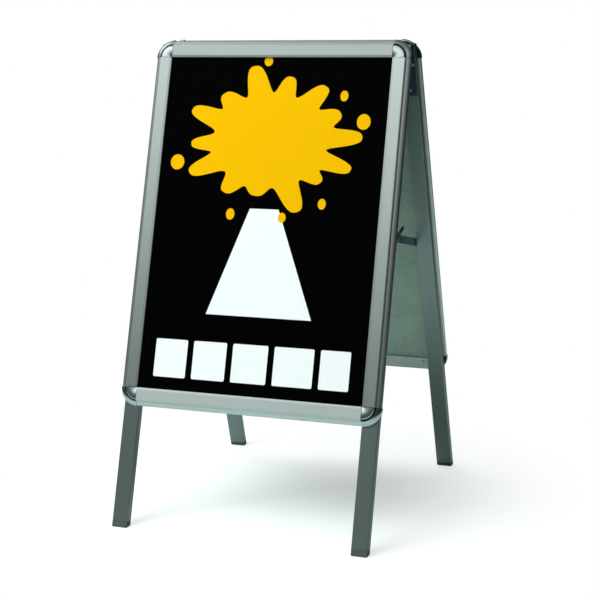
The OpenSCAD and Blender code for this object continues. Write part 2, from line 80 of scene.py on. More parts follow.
def length(name, description, default):
    """A length in metres that the sidebar shows."""
    return FloatProperty(name=name, description=description, default=default, unit="LENGTH", precision=4)


def angle(name, description, default):
    """An angle, given here in degrees."""
    return FloatProperty(name=name, description=description, default=math.radians(default), subtype="ANGLE")


def colour(name, description, default):
    """An sRGB hex colour, such as #c0c8c7."""
    return StringProperty(name=name, description=description, default=default)


class BoardFrameSizes(bpy.types.PropertyGroup):
    rail_width: length("Rail width", "From the outer edge to the visible poster", 0.044)
    rail_depth: length("Rail depth", "From the face to the back", 0.020)
    wall: length("Wall", "Wall of the profile", 0.0016)
    bead_inset: length("Bead inset", "Snap hinge, inwards from the outer edge", 0.0155)
    bead_radius: length("Bead radius", "Round edge that a cover turns on", 0.005)
    nose_top: length("Nose top", "Inner edge of the sloping nose, behind the face", 0.0056)
    nose_side: length("Nose side", "Where the sloping nose becomes upright, behind the face", 0.0145)
    lip_slope: length("Lip slope", "Width of the cover's sloping lip", 0.005)
    lip_drop: length("Lip drop", "Drop of the cover's sloping lip", 0.0015)
    lip_depth: length("Lip depth", "How deep the cover's lip reaches", 0.0061)
    ledge: length("Ledge", "Poster ledge, behind the face", 0.0086)
    cover_strip: length("Covered strip", "Strip of the poster under the frame", 0.010)
    view_height: length("Visible height", "Height of the visible poster", 0.821)
    end_gap: length("End gap", "Between a rail's end and a corner", 0.0005)
    ring_proud: length("Ring proud", "How far the corner rings stand out", 0.002)
    cap_radius: length("Cap radius", "Radius of the corner caps", 0.0295)
    cover_gap: length("Cover gap", "Open seam between the end of a cover and the corner", 0.0006)


class BoardSheetSizes(bpy.types.PropertyGroup):
    back_sheet: length("Back sheet", "Thickness of the galvanised sheet", 0.001)
    poster: length("Poster", "Thickness of the poster", 0.0004)
    clear_sheet: length("Clear sheet", "Thickness of the clear sheet", 0.0008)
    ink: length("Ink", "How far the printed shapes stand out of the poster", 0.00004)


class BoardLegSizes(bpy.types.PropertyGroup):
    thickness: length("Thickness", "Thickness of a leg tube", 0.020)
    below: length("Below the frame", "Length of a leg below the frame", 0.291)
    foot_height: length("Foot height", "Height of a foot on the middle of its leg", 0.014)
    corner: length("Corner radius", "Radius of a tube's long edges", 0.0016)
    top_gap: length("Top gap", "From the frame's top edge to the end of a tube", 0.009)
    plug_head: length("Plug head", "Thickness of a top plug's head", 0.003)


class BoardHingeSizes(bpy.types.PropertyGroup):
    drop: length("Drop", "Hinge axis below the top edge of the frame", 0.014)
    offset: length("Offset", "Hinge axis from the inner face of a leg", 0.006)
    width: length("Width", "Width of a hinge", 0.036)
    height: length("Height", "Height of a leaf below the axis", 0.118)
    thickness: length("Thickness", "Thickness of a leaf", 0.002)
    pin_radius: length("Pin radius", "Radius of the hinge pins", 0.003)


class BoardStaySizes(bpy.types.PropertyGroup):
    width: length("Arm width", "Width of a stay arm", 0.020)
    lever_length: length("Lever length", "Lever beyond the middle pivot", 0.058)
    lever_width: length("Lever width", "Width of the finger lever", 0.009)
    grip_length: length("Grip length", "Length of the dipped end", 0.026)
    pin_radius: length("Pin radius", "Radius of the stays' pivots", 0.003)
    head_radius: length("Head radius", "Radius of the pivots' heads", 0.0055)
    head_thickness: length("Head thickness", "Thickness of the pivots' heads", 0.0015)


class BoardColours(bpy.types.PropertyGroup):
    aluminium: colour("Anodised aluminium", "Rails and covers", "#dbe3e1")
    # The legs' tone is the anodised aluminium darkened: painted shade for the dimmer light low on the board
    leg: colour("Leg tubes", "Satin anodised tubes", "#919c9a")
    chrome: colour("Chrome", "Corner caps and rings", "#c3cbcb")
    moulding: colour("Black moulding", "Corner cores and leg plugs", "#0b0c0e")
    foot: colour("Feet", "Moulded feet", "#4a4f4e")
    galvanised: colour("Back sheet", "Coated steel sheet", "#b3c6b8")
    print_dark: colour("Poster ground", "Ground of the print", "#000000")
    print_bright: colour("Poster blot", "Blot and droplets", "#ffbf01")
    print_light: colour("Poster blocks", "Plain blocks", "#ffffff")
    hinge: colour("Hinges", "Blue-black steel", "#4a5f70")
    stay: colour("Stays", "Dark passivated steel bar", "#8b99a0")
    zinc: colour("Zinc", "Screws, studs and pins", "#b9bdbd")
    rivet: colour("Rivets", "Aluminium rivets", "#dfe3e4")
    vinyl: colour("Grips", "Dipped vinyl", "#08080a")


class BoardStageSettings(bpy.types.PropertyGroup):
    lens: FloatProperty(name="Lens", description="Focal length in millimetres", default=90.4)
    place: FloatVectorProperty(name="Camera place", description="Camera position", subtype="TRANSLATION",
                               default=(1.354, -3.4617, 1.2352))
    yaw: angle("Yaw", "Camera turned to the left", 20.95)
    pitch: angle("Pitch", "Camera turned down", 8.83)
    roll: angle("Roll", "Camera tilted sideways", -0.69)
    shift: FloatProperty(name="Shift", description="Vertical shift of the picture", default=-0.1)
    key: FloatProperty(name="Key light", description="Power in watts", default=116)
    overhead: FloatProperty(name="Overhead light", description="Power in watts", default=64)


# ---- Surfaces ----


def circle_arc(centre, radius, start, end, steps):
    """Points centre + radius * (cos a, sin a), with a running from start to end in degrees.

    radius is one number for a circle, or two for an ellipse.
    """
    angles = np.radians(np.linspace(start, end, steps + 1))
    return np.asarray(centre) + np.stack([np.cos(angles), np.sin(angles)], 1) * np.asarray(radius)


def rounded_rectangle(width, depth, radius, steps=5):
    """A rectangle about the origin whose four corners are quarter circles."""
    corners = [(1, 1, 0), (-1, 1, 90), (-1, -1, 180), (1, -1, 270)]
    arcs = [
        circle_arc((sx * (width / 2 - radius), sy * (depth / 2 - radius)), radius, start, start + 90, steps)
        for sx, sy, start in corners
    ]
    return np.concatenate(arcs)


def sweep(outline, stations):
    """Rings of a straight sweep: the outline (w, n) repeated at each x of stations, as (x, w, n)."""
    outline = np.asarray(outline)
    stations = np.asarray(stations, float)
    rings = np.empty((len(stations), len(outline), 3))
    rings[..., 0] = stations[:, None]
    rings[..., 1:] = outline[None]
    return rings


def quarter_turn(outline, steps=24):
    """Rings of a quarter turn about z: the outline (r, z) at angles from 0 to 90 degrees."""
    outline = np.asarray(outline)
    angles = np.radians(np.linspace(0, 90, steps + 1))[:, None]
    radius = np.maximum(outline[None, :, 0], 1e-5)
    height = np.broadcast_to(outline[None, :, 1], (steps + 1, len(outline)))
    return np.stack([radius * np.cos(angles), radius * np.sin(angles), height], 2)


def turned(profile, origin, axis, steps=28, lobes=0, depth=0.0, lobed=()):
    """Rings of a turned piece: radius r about the axis at height h, for each (r, h) of the profile.

    The rings listed in lobed have the radius r + depth * cos(lobes * angle), which cuts a star recess.
    """
    axis = Vector(axis).normalized()
    across = axis.orthogonal().normalized()
    over = axis.cross(across)
    profile = np.asarray(profile)
    angles = np.linspace(0, 2 * math.pi, steps, endpoint=False)
    radius = np.repeat(profile[:, :1], steps, 1)
    for ring in lobed:
        radius[ring] += depth * np.cos(lobes * angles)
    return (
        np.asarray(origin)
        + (radius * np.cos(angles))[..., None] * np.array(across)
        + (radius * np.sin(angles))[..., None] * np.array(over)
        + profile[:, 1][:, None, None] * np.array(axis)
    )


def lofted(rings, start=0):
    """Vertices, faces and UVs of a closed skin over rings of points, with flat ends.

    A quad joins points j and j + 1 of ring i to those of ring i + 1. u is the distance round the first
    ring and v the distance along the first points, both in metres.
    """
    count, size = rings.shape[:2]
    ring, point = np.meshgrid(np.arange(count - 1), np.arange(size), indexing="ij")
    after = (point + 1) % size
    quads = np.stack(
        [ring * size + point, ring * size + after, (ring + 1) * size + after, (ring + 1) * size + point], -1
    ).reshape(-1, 4)
    round_steps = np.linalg.norm(np.roll(rings[0], -1, 0) - rings[0], axis=1)
    u = np.concatenate([[0], np.cumsum(round_steps)])
    v = np.concatenate([[0], np.cumsum(np.linalg.norm(np.diff(rings[:, 0], axis=0), axis=1))])
    corners_u = np.stack([u[point], u[point + 1], u[point + 1], u[point]], -1)
    corners_v = np.stack([v[ring], v[ring], v[ring + 1], v[ring + 1]], -1)
    uv = np.stack([corners_u, corners_v], -1).reshape(-1, 2)
    low = np.arange(size)[::-1]
    high = np.arange(size) + (count - 1) * size
    uv_low = np.stack([u[:-1][::-1], np.zeros(size)], 1)
    uv_high = np.stack([u[:-1], np.full(size, v[-1])], 1)
    faces = (quads + start).tolist() + [(low + start).tolist(), (high + start).tolist()]
    return rings.reshape(-1, 3), faces, np.concatenate([uv, uv_low, uv_high])


def skin(name, shells, smooth=32.0):
    """One mesh object over several lofted shells, smooth wherever two faces turn less than smooth degrees."""
    vertices, faces, uvs, start = [], [], [], 0
    for rings in shells:
        shell_vertices, shell_faces, shell_uv = lofted(np.asarray(rings, float), start)
        vertices.append(shell_vertices)
        faces += shell_faces
        uvs.append(shell_uv)
        start += len(shell_vertices)
    mesh = bpy.data.meshes.new(name)
    mesh.from_pydata(np.concatenate(vertices), [], faces)
    layer = mesh.uv_layers.new(name="Along")
    layer.data.foreach_set("uv", np.concatenate(uvs).astype(np.float32).ravel())
    working = bmesh.new()
    working.from_mesh(mesh)
    bmesh.ops.recalc_face_normals(working, faces=working.faces)
    working.to_mesh(mesh)
    working.free()
    mesh.polygons.foreach_set("use_smooth", np.ones(len(mesh.polygons), bool))
    mesh.set_sharp_from_angle(angle=math.radians(smooth))
    piece = bpy.data.objects.new(name, mesh)
    bpy.context.scene.collection.objects.link(piece)
    return piece


def soften_edges(piece, width, segments=2):
    """Rounds the sharp edges of a piece."""
    bevel = piece.modifiers.new("Soft edges", "BEVEL")
    bevel.width = width
    bevel.segments = segments
    bevel.limit_method = "ANGLE"
    bevel.angle_limit = math.radians(40)


# ---- Placing ----


class Leaf:
    """Sizes of one leaf, laid flat: x across, y up from the panel's middle, z out of the face."""

    def __init__(self, scene):
        self.frame = scene.board_frame
        self.sheets = scene.board_sheets
        self.legs = scene.board_legs
        self.hinge = scene.board_hinges
        self.half_width = PANEL_HALF_WIDTH
        self.view_half_width = PANEL_HALF_WIDTH - self.frame.rail_width
        self.view_half_height = self.frame.view_height / 2
        self.half_height = self.view_half_height + self.frame.rail_width
        self.hinge_y = self.half_height - self.hinge.drop
        self.leg_face = self.frame.rail_depth + self.legs.thickness
        self.hinge_z = -self.leg_face - self.hinge.offset
        self.leg_middle = (LEG_INNER_X + LEG_OUTER_X) / 2
        self.leg_width = LEG_OUTER_X - LEG_INNER_X
        self.foot_y = -self.half_height - self.legs.below
        self.tube_end = self.foot_y + self.legs.foot_height
        self.sole_rise = self.legs.thickness / 2 * math.tan(TILT)
        self.stem = self.frame.bead_inset + 0.001
        self.fence = self.frame.rail_width - self.frame.cover_strip - 0.001
        self.channel = (self.stem + self.fence) / 2

    def stand(self, points, leaf):
        """Turns flat points up about the hinge axis, and half round for the rear leaf."""
        points = np.asarray(points, float)
        x, y, z = points[..., 0], points[..., 1] - self.hinge_y, points[..., 2] - self.hinge_z
        lean = math.pi / 2 - TILT
        turn = 1 if leaf == "front" else -1
        across = y * math.cos(lean) - z * math.sin(lean)
        up = y * math.sin(lean) + z * math.cos(lean)
        return np.stack([turn * x, turn * across, up + HINGE_HEIGHT], -1)

    def on_side(self, points, side):
        """Moves points from (along, inwards, out) to one side of the flat leaf."""
        half = self.half_height if side in (TOP, BOTTOM) else self.half_width
        points = np.asarray(points, float)
        x, y = points[..., 0], points[..., 1] - half
        cosine, sine = (1, 0, -1, 0)[side], (0, 1, 0, -1)[side]
        return np.stack([x * cosine - y * sine, x * sine + y * cosine, points[..., 2]], -1)

    def at_corners(self, points):
        """Copies points of the quadrant +x +y to the four visible corners of the poster."""
        points = np.asarray(points, float)
        copies = []
        for cosine, sine in ((1, 0), (0, 1), (-1, 0), (0, -1)):
            x = points[..., 0] * cosine - points[..., 1] * sine
            y = points[..., 0] * sine + points[..., 1] * cosine
            sx = 1 if cosine - sine > 0 else -1
            sy = 1 if cosine + sine > 0 else -1
            copies.append(
                np.stack([x + sx * self.view_half_width, y + sy * self.view_half_height, points[..., 2]], -1)
            )
        return copies

    def rail(self, outline, side, cut=0.0):
        """Sweeps an outline (inwards, out) along one side of the flat leaf, cut short at both ends."""
        half = self.view_half_width if side in (TOP, BOTTOM) else self.view_half_height
        half -= self.frame.end_gap + cut
        return self.on_side(sweep(outline, np.linspace(-half, half, 9)), side)


# The nose is the end of an ellipse that is this much wider than the nose itself
NOSE_STRETCH = 3.5
NOSE_END = math.degrees(math.acos(1 - 1 / NOSE_STRETCH))


def base_outline(sizes, leaf):
    """Outer line of a base rail: round back corner, elliptical nose, cradle, stem, web, fence and ledge."""
    depth, wall, r = sizes.rail_depth, sizes.wall, sizes.bead_radius
    cradle, outer = r + 0.0001, r + wall
    bead = (sizes.bead_inset, -r)
    drop = sizes.nose_top - r
    nose = sizes.bead_inset - math.sqrt(cradle**2 - drop**2)
    stretch = nose * NOSE_STRETCH
    rise = (sizes.nose_side - sizes.nose_top) / math.sin(math.radians(NOSE_END))
    back_round, ledge_width, ledge_wall = 0.003, 0.005, 0.0014
    lip, mouth = 15, 180 + math.degrees(math.asin(drop / cradle))
    web, fence = -depth + wall, leaf.fence
    return np.concatenate([
        [[fence, -depth]],
        circle_arc((back_round, -depth + back_round), back_round, 270, 180, 8),
        circle_arc((stretch, -sizes.nose_side), (stretch, rise), 180, 180 - NOSE_END, 24),
        circle_arc(bead, cradle, mouth + 1, 360 + lip, 40),
        circle_arc(bead, outer, 360 + lip, 280, 12),
        [[leaf.stem, web], [fence - wall, web], [fence - wall, -0.005], [fence, -0.005],
         [fence, -sizes.ledge], [fence + ledge_width, -sizes.ledge],
         [fence + ledge_width, -sizes.ledge - ledge_wall], [fence, -sizes.ledge - ledge_wall]],
    ])


def cover_outline(sizes):
    """Outer line of a snap cover: round edge, rib, sloping lip and flat face."""
    r, wall, width = sizes.bead_radius, sizes.wall, sizes.rail_width
    rib, rib_wall, rib_depth = sizes.bead_inset + r + 0.0025, 0.0012, 0.005
    plate = math.degrees(math.asin((r - wall) / r))
    slope = width - sizes.lip_slope
    return np.concatenate([
        circle_arc((sizes.bead_inset, -r), r, 90, 360 + plate, 52),
        [[rib, -wall], [rib, -rib_depth], [rib + rib_wall, -rib_depth], [rib + rib_wall, -wall],
         [slope - 0.0004, -wall], [width - wall, -sizes.lip_drop - wall + 0.0002],
         [width - wall, -sizes.lip_depth], [width, -sizes.lip_depth],
         [width, -sizes.lip_drop], [slope, 0], [sizes.bead_inset + 0.0004, 0]],
    ])


def ring_outline(sizes):
    """Outer line of a corner ring: the nose carried round the corner, open behind."""
    wall, back_round = 0.0018, 0.003
    inner = sizes.rail_width - sizes.bead_inset + sizes.bead_radius + 0.0004
    outer = sizes.rail_width + sizes.ring_proud
    stretch = (outer - inner) * NOSE_STRETCH
    rise = (sizes.nose_side - sizes.nose_top + 0.0006) / math.sin(math.radians(NOSE_END))
    middle = (outer - stretch, -sizes.nose_side)
    hidden = math.degrees(math.acos((inner + wall - middle[0]) / (stretch - wall)))
    return np.concatenate([
        [[inner, -sizes.ledge]],
        circle_arc(middle, (stretch, rise), NOSE_END, 0, 26),
        circle_arc((outer - back_round, -sizes.rail_depth + back_round), back_round, 0, -66, 6),
        [[outer - wall, -sizes.rail_depth]],
        circle_arc(middle, (stretch - wall, rise - wall), 0, hidden, 20),
        [[inner + wall, -sizes.ledge]],
    ])


def cap_outline(sizes):
    """Outer line of a corner cap: a dished middle, a crest and a rounded rim, on a skirt.

    The face lies dish * ((crest - r) / (crest - slope)) ** 2 below the top inside the crest, and
    dome * ((r - crest) / (edge - crest)) ** 2 below it outside.
    """
    rim, skirt, dome, dish = 0.003, 0.0025, 0.0009, 0.0013
    radius, slope = sizes.cap_radius, sizes.lip_slope
    edge = radius - rim
    crest = slope + 0.62 * (edge - slope)
    radii = np.linspace(slope, edge, 20)[::-1]
    inside = np.clip((crest - radii) / (crest - slope), 0, 1)
    outside = np.clip((radii - crest) / (edge - crest), 0, 1)
    crown = -dish * inside**2 - dome * outside**2
    return np.concatenate([
        [[0, -0.0064], [sizes.wall, -0.0064], [sizes.wall, -0.0034], [slope, -0.003],
         [radius - skirt, -0.003], [radius - skirt, -sizes.ledge], [radius, -sizes.ledge]],
        circle_arc((radius - rim, -rim - dome), rim, 0, 90, 12)[:-1],
        np.stack([radii, crown], 1),
        [[0, -sizes.lip_drop - dish]],
    ])


# ---- Materials ----


def linear(code):
    """The linear RGBA of an sRGB hex colour."""
    channels = [int(code[i : i + 2], 16) / 255 for i in (1, 3, 5)]
    return tuple(c / 12.92 if c <= 0.04045 else ((c + 0.055) / 1.055) ** 2.4 for c in channels) + (1.0,)


def add_node(tree, kind, inputs=None, output=0, **settings):
    """Adds a node, sets its properties, and fills its inputs with values or links to other outputs.

    Gives back the output of that number or name, or the node itself where output is None. A Mix node
    of colours takes its share at input 0 and its colours at 6 and 7, and gives them at output 2.
    """
    node = tree.nodes.new(kind)
    for name, value in settings.items():
        setattr(node, name, value)
    for name, value in (inputs or {}).items():
        if isinstance(value, bpy.types.NodeSocket):
            tree.links.new(value, node.inputs[name])
        else:
            node.inputs[name].default_value = value
    return node if output is None or not node.outputs else node.outputs[output]


def new_material(name):
    """An empty material, and the function that adds nodes to it."""
    material = bpy.data.materials.new(name)
    material.use_nodes = True
    material.node_tree.nodes.clear()
    return material, partial(add_node, material.node_tree)


def darker(rgba, share):
    """A colour with its channels scaled."""
    return tuple(c * share for c in rgba[:3]) + (1.0,)


def anodised_aluminium(name, code, roughness, anisotropy, line_spacing=0.0012):
    """Satin anodised 6063 extrusion: a soft metal sheen stretched across fine die lines.

    Real die lines are about 0.2 mm apart, so these are drawn coarser, line_spacing apart, to show.
    """
    material, add = new_material(name)
    uv = add("ShaderNodeUVMap", uv_map="Along")
    lines = add("ShaderNodeMapping", {"Vector": uv, "Scale": (1 / line_spacing, 3.0, 1.0)})
    die = add("ShaderNodeTexNoise", {"Vector": lines, "Scale": 1.0, "Detail": 3.0})
    cloud = add("ShaderNodeTexNoise", {"Vector": add("ShaderNodeTexCoord", output="Object"), "Scale": 6.0})
    base = linear(code)
    tint = add("ShaderNodeMix", {0: cloud, 6: darker(base, 0.96), 7: base}, 2, data_type="RGBA")
    rough = add("ShaderNodeMapRange",
                {"Value": die, "To Min": roughness - 0.05, "To Max": roughness + 0.05})
    add("ShaderNodeOutputMaterial", {"Surface": add("ShaderNodeBsdfPrincipled", {
        "Base Color": tint,
        "Metallic": 1.0,
        "Roughness": rough,
        "Anisotropic": anisotropy,
        "Tangent": add("ShaderNodeTangent", direction_type="UV_MAP", uv_map="Along"),
        "Normal": add("ShaderNodeBump", {"Height": die, "Strength": 0.12, "Distance": 0.0001}),
    })})
    return material


def chrome_plating(code):
    """Satin chrome on moulded ABS: a soft mirror with the faint waviness of the moulding under it."""
    material, add = new_material("Chrome plating")
    wave = add("ShaderNodeTexNoise", {"Vector": add("ShaderNodeTexCoord", output="Object"), "Scale": 90.0})
    rough = add("ShaderNodeMapRange", {"Value": wave, "To Min": 0.14, "To Max": 0.24})
    add("ShaderNodeOutputMaterial", {"Surface": add("ShaderNodeBsdfPrincipled", {
        "Base Color": linear(code),
        "Metallic": 1.0,
        "Roughness": rough,
        "Normal": add("ShaderNodeBump", {"Height": wave, "Strength": 0.15, "Distance": 0.0003}),
    })})
    return material


def moulded_plastic(name, code, roughness, grain=0.0008):
    """Injection-moulded ABS or polypropylene with a fine spark-eroded grain."""
    material, add = new_material(name)
    place = add("ShaderNodeTexCoord", output="Object")
    pits = add("ShaderNodeTexNoise", {"Vector": place, "Scale": 1 / grain})
    scuffs = add("ShaderNodeTexNoise", {"Vector": place, "Scale": 35.0, "Detail": 4.0})
    base = linear(code)
    tint = add("ShaderNodeMix",
               {0: scuffs, 6: darker(base, 0.8), 7: darker(base, 1.2)}, 2, data_type="RGBA")
    rough = add("ShaderNodeMapRange",
                {"Value": scuffs, "To Min": roughness - 0.08, "To Max": roughness + 0.08})
    add("ShaderNodeOutputMaterial", {"Surface": add("ShaderNodeBsdfPrincipled", {
        "Base Color": tint,
        "Roughness": rough,
        "IOR": 1.5,
        "Normal": add("ShaderNodeBump", {"Height": pits, "Strength": 0.25, "Distance": 0.0001}),
    })})
    return material


def galvanised_steel(code):
    """Hot-dip galvanised sheet, passivated grey-green: dull crystals about 12 mm wide and faint stains."""
    material, add = new_material("Galvanised sheet")
    place = add("ShaderNodeTexCoord", output="Object")
    cells = add("ShaderNodeTexVoronoi", {"Vector": place, "Scale": 80.0}, "Color")
    crystals = add("ShaderNodeRGBToBW", {"Color": cells})
    stains = add("ShaderNodeTexNoise", {"Vector": place, "Scale": 9.0, "Detail": 5.0})
    faint = add("ShaderNodeMapRange", {"Value": crystals, "To Max": 0.5})
    mottle = add("ShaderNodeMath", {0: faint, 1: stains}, operation="ADD")
    share = add("ShaderNodeMapRange", {"Value": mottle, "To Max": 0.8})
    base = linear(code)
    tint = add("ShaderNodeMix",
               {0: share, 6: darker(base, 0.55), 7: darker(base, 1.2)}, 2, data_type="RGBA")
    rough = add("ShaderNodeMapRange", {"Value": crystals, "To Min": 0.42, "To Max": 0.62})
    add("ShaderNodeOutputMaterial", {"Surface": add("ShaderNodeBsdfPrincipled", {
        "Base Color": tint,
        "Metallic": 0.55,
        "Roughness": rough,
    })})
    return material


def plain_metal(name, code, roughness, grain=0.0005, metallic=1.0):
    """Rolled or headed metal with a thin plated or passivated skin: even sheen and faint handling marks."""
    material, add = new_material(name)
    place = add("ShaderNodeTexCoord", output="Object")
    marks = add("ShaderNodeTexNoise", {"Vector": place, "Scale": 60.0, "Detail": 5.0})
    fine = add("ShaderNodeTexNoise", {"Vector": place, "Scale": 1 / grain})
    base = linear(code)
    tint = add("ShaderNodeMix",
               {0: marks, 6: darker(base, 0.85), 7: darker(base, 1.08)}, 2, data_type="RGBA")
    rough = add("ShaderNodeMapRange",
                {"Value": marks, "To Min": roughness - 0.08, "To Max": roughness + 0.1})
    add("ShaderNodeOutputMaterial", {"Surface": add("ShaderNodeBsdfPrincipled", {
        "Base Color": tint,
        "Metallic": metallic,
        "Roughness": rough,
        "Normal": add("ShaderNodeBump", {"Height": fine, "Strength": 0.1, "Distance": 0.0001}),
    })})
    return material


def printed_paper(name, code):
    """Offset print on coated poster paper: solid ink with a faint paper tooth."""
    material, add = new_material(name)
    tooth = add("ShaderNodeTexNoise", {"Vector": add("ShaderNodeTexCoord", output="Object"), "Scale": 900.0})
    base = linear(code)
    tint = add("ShaderNodeMix", {0: tooth, 6: darker(base, 0.97), 7: base}, 2, data_type="RGBA")
    rough = add("ShaderNodeMapRange", {"Value": tooth, "To Min": 0.55, "To Max": 0.7})
    add("ShaderNodeOutputMaterial", {"Surface": add("ShaderNodeBsdfPrincipled", {
        "Base Color": tint,
        "Roughness": rough,
        "Specular IOR Level": 0.02,
    })})
    return material


def clear_pet(name):
    """Clear anti-glare PET: almost invisible, with a matt-soft gloss."""
    material, add = new_material(name)
    haze = add("ShaderNodeTexNoise", {"Vector": add("ShaderNodeTexCoord", output="Object"), "Scale": 400.0})
    rough = add("ShaderNodeMapRange", {"Value": haze, "To Min": 0.35, "To Max": 0.5})
    add("ShaderNodeOutputMaterial", {"Surface": add("ShaderNodeBsdfPrincipled", {
        "Base Color": linear("#101214"),
        "Roughness": rough,
        "Alpha": 0.01,
    })})
    return material


def dipped_vinyl(code):
    """Plastisol dip: smooth, soft black with a slow sheen."""
    return moulded_plastic("Dipped vinyl", code, 0.35, 0.003)


FINISHES = {}


def finish_for(slot):
    """The material of a slot, made once."""
    if not FINISHES:
        colours = bpy.context.scene.board_colours
        FINISHES.update({
            "anodised_rail": anodised_aluminium("Anodised rail", colours.aluminium, 0.38, 0.7),
            "anodised_cover": anodised_aluminium("Anodised cover", colours.aluminium, 0.4, 0.85),
            # Painted shade: the leg tubes take a darker tone than the rails, for the dimmer light low on the
            # board
            "leg_tube": anodised_aluminium("Anodised leg", colours.leg, 0.42, 0.5),
            "chrome_corner": chrome_plating(colours.chrome),
            "black_moulding": moulded_plastic("Black moulding", colours.moulding, 0.4),
            "foot_moulding": moulded_plastic("Foot moulding", colours.foot, 0.55),
            "galvanised_sheet": galvanised_steel(colours.galvanised),
            "poster": printed_paper("Dark print", colours.print_dark),
            "print_bright": printed_paper("Bright print", colours.print_bright),
            "print_light": printed_paper("Light print", colours.print_light),
            "clear_sheet": clear_pet("Clear sheet"),
            "spring_steel": plain_metal("Spring steel", colours.zinc, 0.4),
            "zinc_steel": plain_metal("Zinc-plated steel", colours.zinc, 0.32),
            "aluminium_rivet": plain_metal("Aluminium rivet", colours.rivet, 0.26),
            "hinge_steel": plain_metal("Blue-black steel", colours.hinge, 0.42, metallic=0.7),
            "stay_steel": plain_metal("Passivated bar", colours.stay, 0.38),
            "grip_vinyl": dipped_vinyl(colours.vinyl),
        })
    return FINISHES[slot]


# ---- Operators ----


class BoardOperator:
    """What the operators share."""

    bl_options = {"REGISTER", "UNDO"}

    def add(self, name, shells, body, slot, nodes=(), finish=None, edge=0.0, smooth=32.0):
        """Adds a piece, which rides on its body and hides the nodes that it stands for."""
        piece = skin(name, shells, smooth)
        if edge:
            soften_edges(piece, edge)
        piece.data.materials.append(finish_for(finish or slot))
        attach(piece, body)
        if nodes:
            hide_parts(*nodes)

    def add_standing(self, leaf, end, name, shells, slot, node=None, body="leaf", **looks):
        """Stands flat shells up as one piece of a leaf. All the names begin with the leaf's end."""
        nodes = [f"{end}_{node}"] if node else ()
        self.add(f"{end}_{name}", [leaf.stand(s, end) for s in shells], f"{end}_{body}", slot, nodes, **looks)


class BOARD_OT_base_rails(BoardOperator, bpy.types.Operator):
    """Sweeps the base rail's outline along the four sides of both leaves"""

    bl_idname = "board.base_rails"
    bl_label = "Base Rails"

    def execute(self, context):
        leaf = Leaf(context.scene)
        outline = base_outline(leaf.frame, leaf)
        for end in LEAVES:
            for side, name in SIDE_NAMES[end].items():
                node = f"base_rail_{name}"
                rings = leaf.rail(outline, side)
                self.add_standing(leaf, end, f"{node}_profile", [rings], "anodised_rail", node)
        return {"FINISHED"}


class BOARD_OT_snap_covers(BoardOperator, bpy.types.Operator):
    """Sweeps the snap cover's outline along the four sides of both leaves"""

    bl_idname = "board.snap_covers"
    bl_label = "Snap Covers"

    def execute(self, context):
        leaf = Leaf(context.scene)
        outline = cover_outline(leaf.frame)
        for end in LEAVES:
            for side, name in SIDE_NAMES[end].items():
                rings = leaf.rail(outline, side, leaf.frame.cover_gap)
                self.add_standing(leaf, end, f"cover_{name}_profile", [rings], "anodised_cover",
                                  f"cover_{name}", f"snap_{name}", smooth=12)
        return {"FINISHED"}


class BOARD_OT_corners(BoardOperator, bpy.types.Operator):
    """Turns the chrome rings and caps round the corners, and finishes the black cores and the springs"""

    bl_idname = "board.corners"
    bl_label = "Corners"

    def execute(self, context):
        leaf = Leaf(context.scene)
        parts = {"rings": ring_outline(leaf.frame), "caps": cap_outline(leaf.frame)}
        for end in LEAVES:
            for part, outline in parts.items():
                shells = leaf.at_corners(quarter_turn(outline))
                node = f"corner_{part}"
                self.add_standing(leaf, end, f"{node}_chrome", shells, "chrome_corner", node)
            for part, slot in (("corner_keys", "black_moulding"), ("cover_springs", "spring_steel")):
                node = frame["nodes"][f"{end}_{part}"]
                node.data.materials.clear()
                node.data.materials.append(finish_for(slot))
        return {"FINISHED"}


def flat_plate(outline, front, back):
    """Rings of a flat plate: the outline (x, y) at two depths."""
    outline = np.asarray(outline)
    return np.stack([np.column_stack([outline, np.full(len(outline), depth)]) for depth in (back, front)])


def rectangle(half_width, half_height):
    """The corners of a rectangle about the origin."""
    return np.array([[half_width, half_height], [-half_width, half_height],
                     [-half_width, -half_height], [half_width, -half_height]])


class BOARD_OT_sheets(BoardOperator, bpy.types.Operator):
    """Lays the galvanised sheet, the poster and the clear sheet into both leaves"""

    bl_idname = "board.sheets"
    bl_label = "Sheets"

    def execute(self, context):
        leaf = Leaf(context.scene)
        sizes = leaf.sheets
        strip = leaf.frame.cover_strip
        half = rectangle(leaf.view_half_width + strip, leaf.view_half_height + strip)
        ledge = -leaf.frame.ledge
        poster_back = ledge + sizes.back_sheet
        clear_back = poster_back + sizes.poster
        hidden = 0.0001
        layers = {
            "back_sheet": ("galvanised_sheet", ledge, poster_back),
            "poster": ("poster", poster_back, clear_back - hidden),
            "clear_sheet": ("clear_sheet", clear_back, clear_back + sizes.clear_sheet),
        }
        for end in LEAVES:
            for layer, (slot, back, front) in layers.items():
                self.add_standing(leaf, end, f"{layer}_panel", [flat_plate(half, front, back)], slot, layer)
        return {"FINISHED"}


def blot_outline(reach, lobes, steps=360):
    """A lobed blot: radius = body + the sum of height * exp(-|turn / width| ** 3) over its lobes."""
    angles = np.linspace(0, 2 * math.pi, steps, endpoint=False)
    radius = np.full(steps, 1.0)
    for degrees, height, width in lobes:
        turn = np.angle(np.exp(1j * (angles - math.radians(degrees))))
        radius += height * np.exp(-np.abs(turn / math.radians(width)) ** 3)
    return np.stack([radius * np.cos(angles), radius * np.sin(angles)], 1) * np.asarray(reach)


